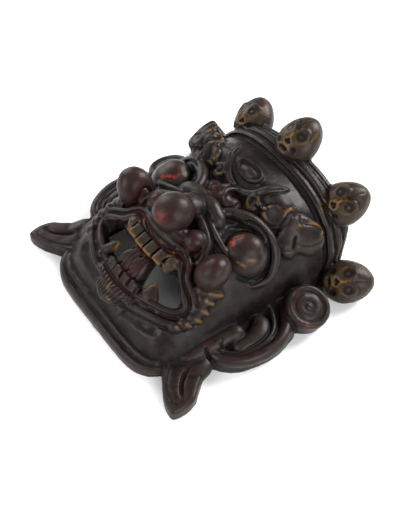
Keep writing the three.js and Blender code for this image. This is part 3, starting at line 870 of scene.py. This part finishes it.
LEAF_SLIT = [(121, 55), (127, 43), (136, 33), (146, 27), (152, 25)]


def carve_face(surface):
    surface.press([(p.x, p.y) for p in lip_loop(-0.3, 0)], 2.6, 2.4, closed=True)
    surface.press(lip_loop(10.8, 1), 2.6, 1.6, closed=True)
    for i in range(5):
        x = (i - 2) * TOOTH_WIDTH
        surface.press([(x, 73), (x, 82), (x * 1.02, 94)], 1.9, 3.4, ends=0.05)
        surface.press([(x * 0.9, 42), (x * 0.9, 48), (x * 0.9, 56)], 1.9, 3.4, ends=0.05)
    for middle in BAND_GROOVES:
        surface.press(band_path(middle, 4, 3), 2.4, 2.4, ends=0.02)
    surface.press(band_path(BAND_GROOVES[0] - 2, 4, 1), 3.6, 2.4, ends=0.02)
    for middle in (273, 277, 286, 289, 299):
        surface.press(band_path(middle, 4, 5), 1.4, 0.7, ends=0.02)
    for x in (-33, -27, -21, -15, -9, -3, 3, 9, 15, 21, 27, 33):
        surface.press([(x, 40), (x * 0.86, 29), (x * 0.6, 17)], 1.6, 0.9, ends=0.3)
    for side in (1, -1):
        carve_side(surface, side)


def carve_side(surface, side):
    def drawn(*points):
        return sided(points, side)
    for line in LOCK_VEINS:
        surface.press(drawn(*line), 2.0, 1.1)
    for outline in LOCKS:
        surface.press(drawn(*outline), 2.2, 0.9, closed=True)
    surface.press(drawn((99, 220), (95, 223), (92, 227)), 2.6, 3.0)
    ring = []
    for i in range(14):
        angle = -0.9 + i / 13 * 4.2
        ring.append((EYE[0] + 29 * math.cos(angle), EYE[1] + 29 * math.sin(angle)))
    surface.press(drawn(*ring), 3.0, 3.0)
    surface.press(drawn((12, 150), (30, 147), (47, 141), (62, 128), (60, 112)), 2.6, 2.0)
    surface.press(drawn((38, 228), (43, 238), (44, 250)), 2.6, 2.0)
    surface.press(drawn((20, 182), (24, 190), (22, 200)), 2.2, 2.0)
    surface.press(drawn((18, 27), (40, 30), (62, 35), (80, 45)), 9.0, 3.5)
    surface.press(drawn(*EAR_GROOVE), 2.6, 2.0, ends=0.08)
    surface.press(drawn((116, 82), (122, 78.5), (131, 80)), 3.0, 3.0, ends=0.3)
    surface.press(drawn(*LEAF_SLIT), 3.4, 4.5, ends=0.3)
    surface.press(drawn((104, 42), (114, 30), (130, 18), (146, 13), (154, 16)), 2.4, 1.0)


def carve_skulls(surface):
    for skull in SKULLS:
        view = skull_frame(skull)
        for side in (1, -1):
            surface.dent((side * SOCKET[0], SOCKET[1]), 6.2, 1.3, view)
            surface.dent((side * SOCKET[0], SOCKET[1]), 3.8, -1.7, view)
            surface.dent((side * 13, -15), 5.0, 2.4, view)
            surface.press([(side * 4, -17), (side * 4, -20), (side * 4, -23)], 1.3, 1.6, view, ends=0.05)
            surface.dent((side * 2.4, -10.5), 2.8, 3.2, view)
        surface.dent((0, -8.5), 3.0, 2.6, view)
        surface.press([(-7, -19.5), (0, -19), (7, -19.5)], 2.2, 3.4, view)
        surface.press([(0, 12), (0, 20), (1, 29)], 1.5, 0.7, view)


def carve_by_hand(surface):
    """The slight unevenness that knife and polishing leave."""
    for i, point in enumerate(surface.points):
        place = Vector(point)
        wave = noise.noise(place * 0.09) * 0.4 + noise.noise(place * 0.3) * 0.15
        surface.points[i] += surface.normals[i] * wave
    surface.points[:, 2] = np.maximum(surface.points[:, 2], 0)


surface = Surface(wood)
carve_face(surface)
carve_skulls(surface)
carve_by_hand(surface)
surface.store()

# Fewer faces where the surface is plain
triangles = sum(len(p.vertices) - 2 for p in wood.data.polygons)
if triangles > TRIANGLE_LIMIT:
    thin = wood.modifiers.new("fewer faces", "DECIMATE")
    thin.ratio = TRIANGLE_LIMIT / triangles
    apply_modifiers(wood)


# Colour, laid on the carving in strokes and dabs

class Paint(Surface):
    """Amounts of colour on each point of a piece."""

    def __init__(self, piece):
        super().__init__(piece)
        self.layers = {}

    def layer(self, name):
        if name not in self.layers:
            self.layers[name] = np.zeros(len(self.points))
        return self.layers[name]

    def stroke(self, name, path, width, amount=1.0, view=None, closed=False):
        line = self.drape(path, view, closed)
        if len(line) > 1:
            which, distance, _ = self.near(line, width)
            self.add(name, which, amount * np.clip(1.6 * (1 - distance / width), 0, 1))

    def dab(self, name, center, radius, amount=1.0):
        distance = np.linalg.norm(self.points - np.array(center), axis=1)
        which = np.nonzero(distance < radius)[0]
        self.add(name, which, amount * np.clip(2 * (1 - distance[which] / radius), 0, 1))

    def add(self, name, which, amount):
        layer = self.layer(name)
        layer[which] = np.maximum(layer[which], amount)

    def relief(self):
        """Worn edges above 0.5 and deep corners below it."""
        even = self.piece.copy()
        even.data = self.piece.data.copy()
        bpy.context.scene.collection.objects.link(even)
        smooth(even, 0.7, 14)
        level = np.empty(len(self.points) * 3)
        even.data.vertices.foreach_get("co", level)
        bpy.data.objects.remove(even)
        stand = ((self.points - level.reshape(-1, 3)) * self.normals).sum(axis=1)
        self.layers["relief"] = np.clip(0.5 + stand * 0.9, 0, 1)

    def store(self):
        for name, amount in self.layers.items():
            attribute = self.piece.data.attributes.new(name, "FLOAT", "POINT")
            attribute.data.foreach_set("value", amount)


def paint_face(paint):
    for offset, width, amount in ((-0.3, 2.8, 0.7), (-7, 6, 0.25), (6, 6, 0.2)):
        paint.stroke("red", lip_loop(offset, 2), width, amount, closed=True)
    lip = lip_loop(-0.3, 1)
    paint.stroke("orange", lip[-5:] + lip[:4], 1.8, 0.35)
    paint.stroke("red", [(0, 44, 50), (0, 60, 68), (0, 78, 80), (0, 90, 84)], 18, 0.9)
    paint.dab("red", (0, 103, 136), 22, 1.0)
    paint.dab("red", NOSE, 30, 0.45)
    paint.dab("orange", (5, 101, 139), 10, 0.3)
    paint.dab("red", (0, 186, 112), 30, 0.5)
    paint.stroke("gold", [(0, 28), (5, 22), (12, 20)], 3, 0.6)
    path = [(x, 5 + float(chin_edge(x)), 8) for x in range(-104, 105, 8)]
    paint.stroke("red", path, 8, 0.6)
    for i in range(4):
        x = (i - 1.5) * TOOTH_WIDTH
        paint.stroke("gold", [(x - 7, 77, 95), (x, 75.5, 95), (x + 7, 77, 95)], 3.0, 0.75)
        paint.stroke("gold", [(x - 7, 78, 97), (x - 7, 84, 98), (x - 7, 91, 98)], 2.2, 0.5)
        paint.dab("gold", (x, 83, 96), 9, 0.06)
    for side in (1, -1):
        paint_side(paint, side)


LOCK_GILDING = [
    [(73, 224), (69, 232), (68, 240), (77, 248)],
    [(50, 222), (50, 214), (56, 210)],
    [(86, 235), (88, 246), (91, 258), (95, 266), (100, 262)],
]


def paint_side(paint, side):
    def drawn(*points):
        return sided(points, side)
    paint.stroke("gold", drawn((30, 99, 98), (30, 88, 95), (37, 79, 86)), 3.0, 0.9)
    paint.stroke("gold", drawn((36, 60, 67), (36, 66, 72), (40, 70, 72)), 3.0, 0.8)
    paint.dab("gold", (side * 37, 88, 94), 14, 0.1)
    paint.dab("red", (side * 36, 121, 110), 19, 0.85)
    paint.dab("red", (side * 76, 116, 108), 32, 0.6)
    paint.dab("red", (side * 66, 106, 108), 22, 0.9)
    paint.dab("red", (side * 74, 172, 108), 18, 0.45)
    paint.stroke("orange", drawn((60, 158), (58, 166), (61, 175)), 3.0, 1.0)
    paint.stroke("orange", drawn((70, 152), (66, 155), (63, 160)), 2.4, 0.8)
    paint.stroke("gold", drawn((82, 150), (86, 152), (90, 155)), 2.2, 0.8)
    paint.stroke("gold", drawn((88, 160), (91, 165), (92, 170)), 1.8, 0.6)
    paint.stroke("gold", drawn((31, 219), (39, 212), (33, 203), (25, 208)), 2.0, 0.3)
    for outline in LOCKS:
        paint.stroke("gold", drawn(*outline), 1.8, 0.12, closed=True)
    for line in LOCK_GILDING:
        paint.stroke("gold", drawn(*line), 2.4, 0.6)
    for line in BEARD_LOCKS:
        upper_edge = [on_face(x + 3, y + 1, rise + 4) for x, y, rise in line[0][1:]]
        paint.stroke("gold", drawn(*upper_edge), 2.2, 0.5)
    paint.stroke("red", drawn(*HELIX_LINE), 10, 0.3)
    paint.stroke("red", drawn(*LEAF_SLIT), 14, 0.35)
    paint.dab("red", (side * 150, 30, 14), 24, 0.4)
    paint.dab("red", (side * DISC[0], DISC[1], 20), 32, 0.3)
    paint.dab("orange", (side * 163, 196, 27), 6, 0.25)
    paint.dab("orange", (side * 122, 207, 36), 8, 0.25)


def paint_skulls(paint):
    for skull in SKULLS:
        view = skull_frame(skull)
        paint.dab("gold", view @ Vector((0, 0, 10)), 40, 0.05)
        for side in (1, -1):
            ring = []
            for i in range(12):
                angle = i / 12 * 2 * math.pi
                x = SOCKET[0] + SOCKET_RING * math.cos(angle)
                ring.append((side * x, SOCKET[1] + SOCKET_RING * math.sin(angle)))
            paint.stroke("gold", ring, 1.5, 0.14, view, closed=True)
            paint.stroke("gold", [(side * 3, -6), (side * 5, -12), (side * 2, -14)], 2.0, 0.6, view)
            paint.stroke("gold", [(side * 10, -6), (side * 15, -3), (side * 17, 2)], 2.2, 0.35, view)
            paint.stroke("gold", [(side * 20, 8), (side * 17, 20), (side * 9, 28)], 2.6, 0.3, view)
        paint.stroke("gold", [(0, 6), (0, 0), (0, -6)], 2.0, 0.8, view)
        paint.stroke("gold", [(-8, -17), (0, -15), (8, -17)], 1.8, 0.7, view)
        paint.stroke("gold", [(-6, -23), (0, -24), (6, -23)], 1.8, 0.5, view)


paint = Paint(wood)
paint_face(paint)
paint_skulls(paint)
paint.relief()
paint.store()

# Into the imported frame, in metres
wood.data.transform(Matrix.Translation((0, CHIN_Y, 0)) @ Matrix.Scale(MM, 4))
for polygon in wood.data.polygons:
    polygon.use_smooth = True


class Shading:
    """Short names for the nodes of one material."""

    def __init__(self, name):
        self.material = bpy.data.materials.new(name)
        self.material.use_nodes = True
        self.tree = self.material.node_tree
        self.shader = self.tree.nodes["Principled BSDF"]

    def link(self, source, target):
        if isinstance(source, (int, float)):
            target.default_value = source
        elif isinstance(source, tuple):
            target.default_value = (*source, 1)
        else:
            self.tree.links.new(source, target)

    def attribute(self, name):
        node = self.tree.nodes.new("ShaderNodeAttribute")
        node.attribute_name = name
        return node.outputs["Fac"]

    def noise(self, scale, detail=4, stretch=(1, 1, 1)):
        place = self.tree.nodes.new("ShaderNodeTexCoord")
        turn = self.tree.nodes.new("ShaderNodeMapping")
        turn.inputs["Scale"].default_value = stretch
        node = self.tree.nodes.new("ShaderNodeTexNoise")
        node.inputs["Scale"].default_value = scale
        node.inputs["Detail"].default_value = detail
        self.link(place.outputs["Object"], turn.inputs["Vector"])
        self.link(turn.outputs["Vector"], node.inputs["Vector"])
        return node.outputs["Fac"]

    def math(self, operation, one, two=0.0):
        node = self.tree.nodes.new("ShaderNodeMath")
        node.operation = operation
        self.link(one, node.inputs[0])
        self.link(two, node.inputs[1])
        return node.outputs[0]

    def ramp(self, value, low, high, start=0.0, end=1.0):
        node = self.tree.nodes.new("ShaderNodeMapRange")
        for socket, amount in zip(("Value", "From Min", "From Max", "To Min", "To Max"),
                                  (value, low, high, start, end)):
            self.link(amount, node.inputs[socket])
        return node.outputs[0]

    def mix(self, amount, one, two):
        node = self.tree.nodes.new("ShaderNodeMix")
        node.data_type = "RGBA"
        self.link(amount, node.inputs[0])
        self.link(one, node.inputs[6])
        self.link(two, node.inputs[7])
        return node.outputs[2]


# Colours of the stained wood and its old paint, and a painted shade for its deep corners
STAIN_DARK = (0.004, 0.0024, 0.0023)
STAIN_PALE = (0.0092, 0.0062, 0.0058)
GRAIN_LINE = (0.0035, 0.0022, 0.0021)
WORN_EDGE = (0.024, 0.017, 0.0135)
PAINTED_CORNER_SHADE = (0.0025, 0.0016, 0.0015)
OLD_RED = (0.027, 0.0014, 0.0024)
BRIGHT_RED = (0.26, 0.022, 0.010)
OLD_GOLD = (0.17, 0.083, 0.015)


def stained_wood():
    wood = Shading("stained_wood")
    relief = wood.attribute("relief")
    blotch = wood.noise(34, 5)
    speck = wood.noise(260, 4)
    grain = wood.noise(90, 6, (5, 0.6, 5))
    worn = wood.math("ADD", relief, wood.math("MULTIPLY", wood.math("SUBTRACT", speck, 0.5), 0.35))
    color = wood.mix(wood.ramp(blotch, 0.35, 0.7), STAIN_DARK, STAIN_PALE)
    color = wood.mix(wood.ramp(grain, 0.45, 0.75, 0, 0.5), color, GRAIN_LINE)
    color = wood.mix(wood.ramp(worn, 0.58, 0.95, 0, 0.6), color, WORN_EDGE)
    # Painted shade: the deep corners and grooves of the relief are darkened in the colour itself
    color = wood.mix(wood.ramp(relief, 0.4, 0.05, 0, 0.7), color, PAINTED_CORNER_SHADE)
    red = wood.math("MULTIPLY", wood.attribute("red"), wood.ramp(wood.noise(48, 6), 0.3, 0.62))
    color = wood.mix(wood.math("MULTIPLY", red, 0.8), color, OLD_RED)
    orange = wood.math("MULTIPLY", wood.attribute("orange"), wood.ramp(wood.noise(170, 6), 0.42, 0.58))
    color = wood.mix(orange, color, BRIGHT_RED)
    raised = wood.math("MULTIPLY", wood.math("SUBTRACT", relief, 0.5), 1.2)
    gilt = wood.math("ADD", wood.noise(210, 6), raised)
    gold = wood.math("MULTIPLY", wood.attribute("gold"), wood.ramp(gilt, 0.5, 0.8))
    color = wood.mix(gold, color, OLD_GOLD)
    wood.link(color, wood.shader.inputs["Base Color"])
    shine = wood.ramp(wood.noise(60, 5), 0.3, 0.7, 0.3, 0.46)
    shine = wood.math("ADD", shine, wood.ramp(relief, 0.45, 0.2, 0, 0.3))
    wood.link(shine, wood.shader.inputs["Roughness"])
    wood.shader.inputs["Specular IOR Level"].default_value = 0.17
    bump = wood.tree.nodes.new("ShaderNodeBump")
    bump.inputs["Strength"].default_value = 0.34
    bump.inputs["Distance"].default_value = 0.0006
    wood.link(wood.math("ADD", grain, wood.math("MULTIPLY", speck, 0.6)), bump.inputs["Height"])
    wood.link(bump.outputs["Normal"], wood.shader.inputs["Normal"])
    return wood.material


wood.data.materials.clear()
wood.data.materials.append(stained_wood())
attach(wood, "root")
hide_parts("mask")


# Floor, lights and camera

def add_floor():
    bm = bmesh.new()
    bmesh.ops.create_grid(bm, x_segments=1, y_segments=1, size=6)
    mesh = bpy.data.meshes.new("floor")
    bm.to_mesh(mesh)
    bm.free()
    floor = bpy.data.objects.new("floor", mesh)
    bpy.context.scene.collection.objects.link(floor)
    material = bpy.data.materials.new("pale_floor")
    material.use_nodes = True
    shader = material.node_tree.nodes["Principled BSDF"]
    shader.inputs["Base Color"].default_value = (0.94, 0.94, 0.94, 1)
    shader.inputs["Roughness"].default_value = 0.9
    mesh.materials.append(material)


# Name, place in metres, size and power
STUDIO_LIGHTS = (
    ("key", (0.15, 1.55, 1.1), 0.9, 54),
    ("left", (-1.6, 0.0, 0.95), 1.2, 26),
    ("right", (1.6, -0.1, 0.95), 1.2, 29),
    ("front", (-0.3, -1.6, 0.95), 1.2, 25),
)
LIGHT_AIM = Vector((0, 0, 0.06))


def add_light(name, place, size, power):
    data = bpy.data.lights.new(name, "AREA")
    data.shape = "SQUARE"
    data.size = size
    data.energy = power
    light = bpy.data.objects.new(name, data)
    light.location = place
    light.rotation_euler = (LIGHT_AIM - Vector(place)).to_track_quat("-Z", "Y").to_euler()
    bpy.context.scene.collection.objects.link(light)


def add_camera():
    data = bpy.data.cameras.new("camera")
    data.lens = 900 / 513 * 36
    data.sensor_width = 36
    data.clip_end = 50
    camera = bpy.data.objects.new("camera", data)
    azimuth, height, distance = math.radians(53.9), math.radians(52.58), 1.06179
    target = Vector((0.02757, 0.13798 + CHIN_Y, 0.060))
    back = Vector((math.sin(azimuth) * math.cos(height), -math.cos(azimuth) * math.cos(height),
                   math.sin(height)))
    camera.location = target + back * distance
    camera.rotation_euler = back.to_track_quat("Z", "Y").to_euler()
    bpy.context.scene.collection.objects.link(camera)
    bpy.context.scene.camera = camera


add_floor()
for name, place, size, power in STUDIO_LIGHTS:
    add_light(name, place, size, power)
world = bpy.data.worlds.new("studio")
world.use_nodes = True
world.node_tree.nodes["Background"].inputs["Color"].default_value = (1, 1, 1, 1)
world.node_tree.nodes["Background"].inputs["Strength"].default_value = 0.3
bpy.context.scene.world = world
bpy.context.scene.view_settings.view_transform = "Standard"
add_camera()
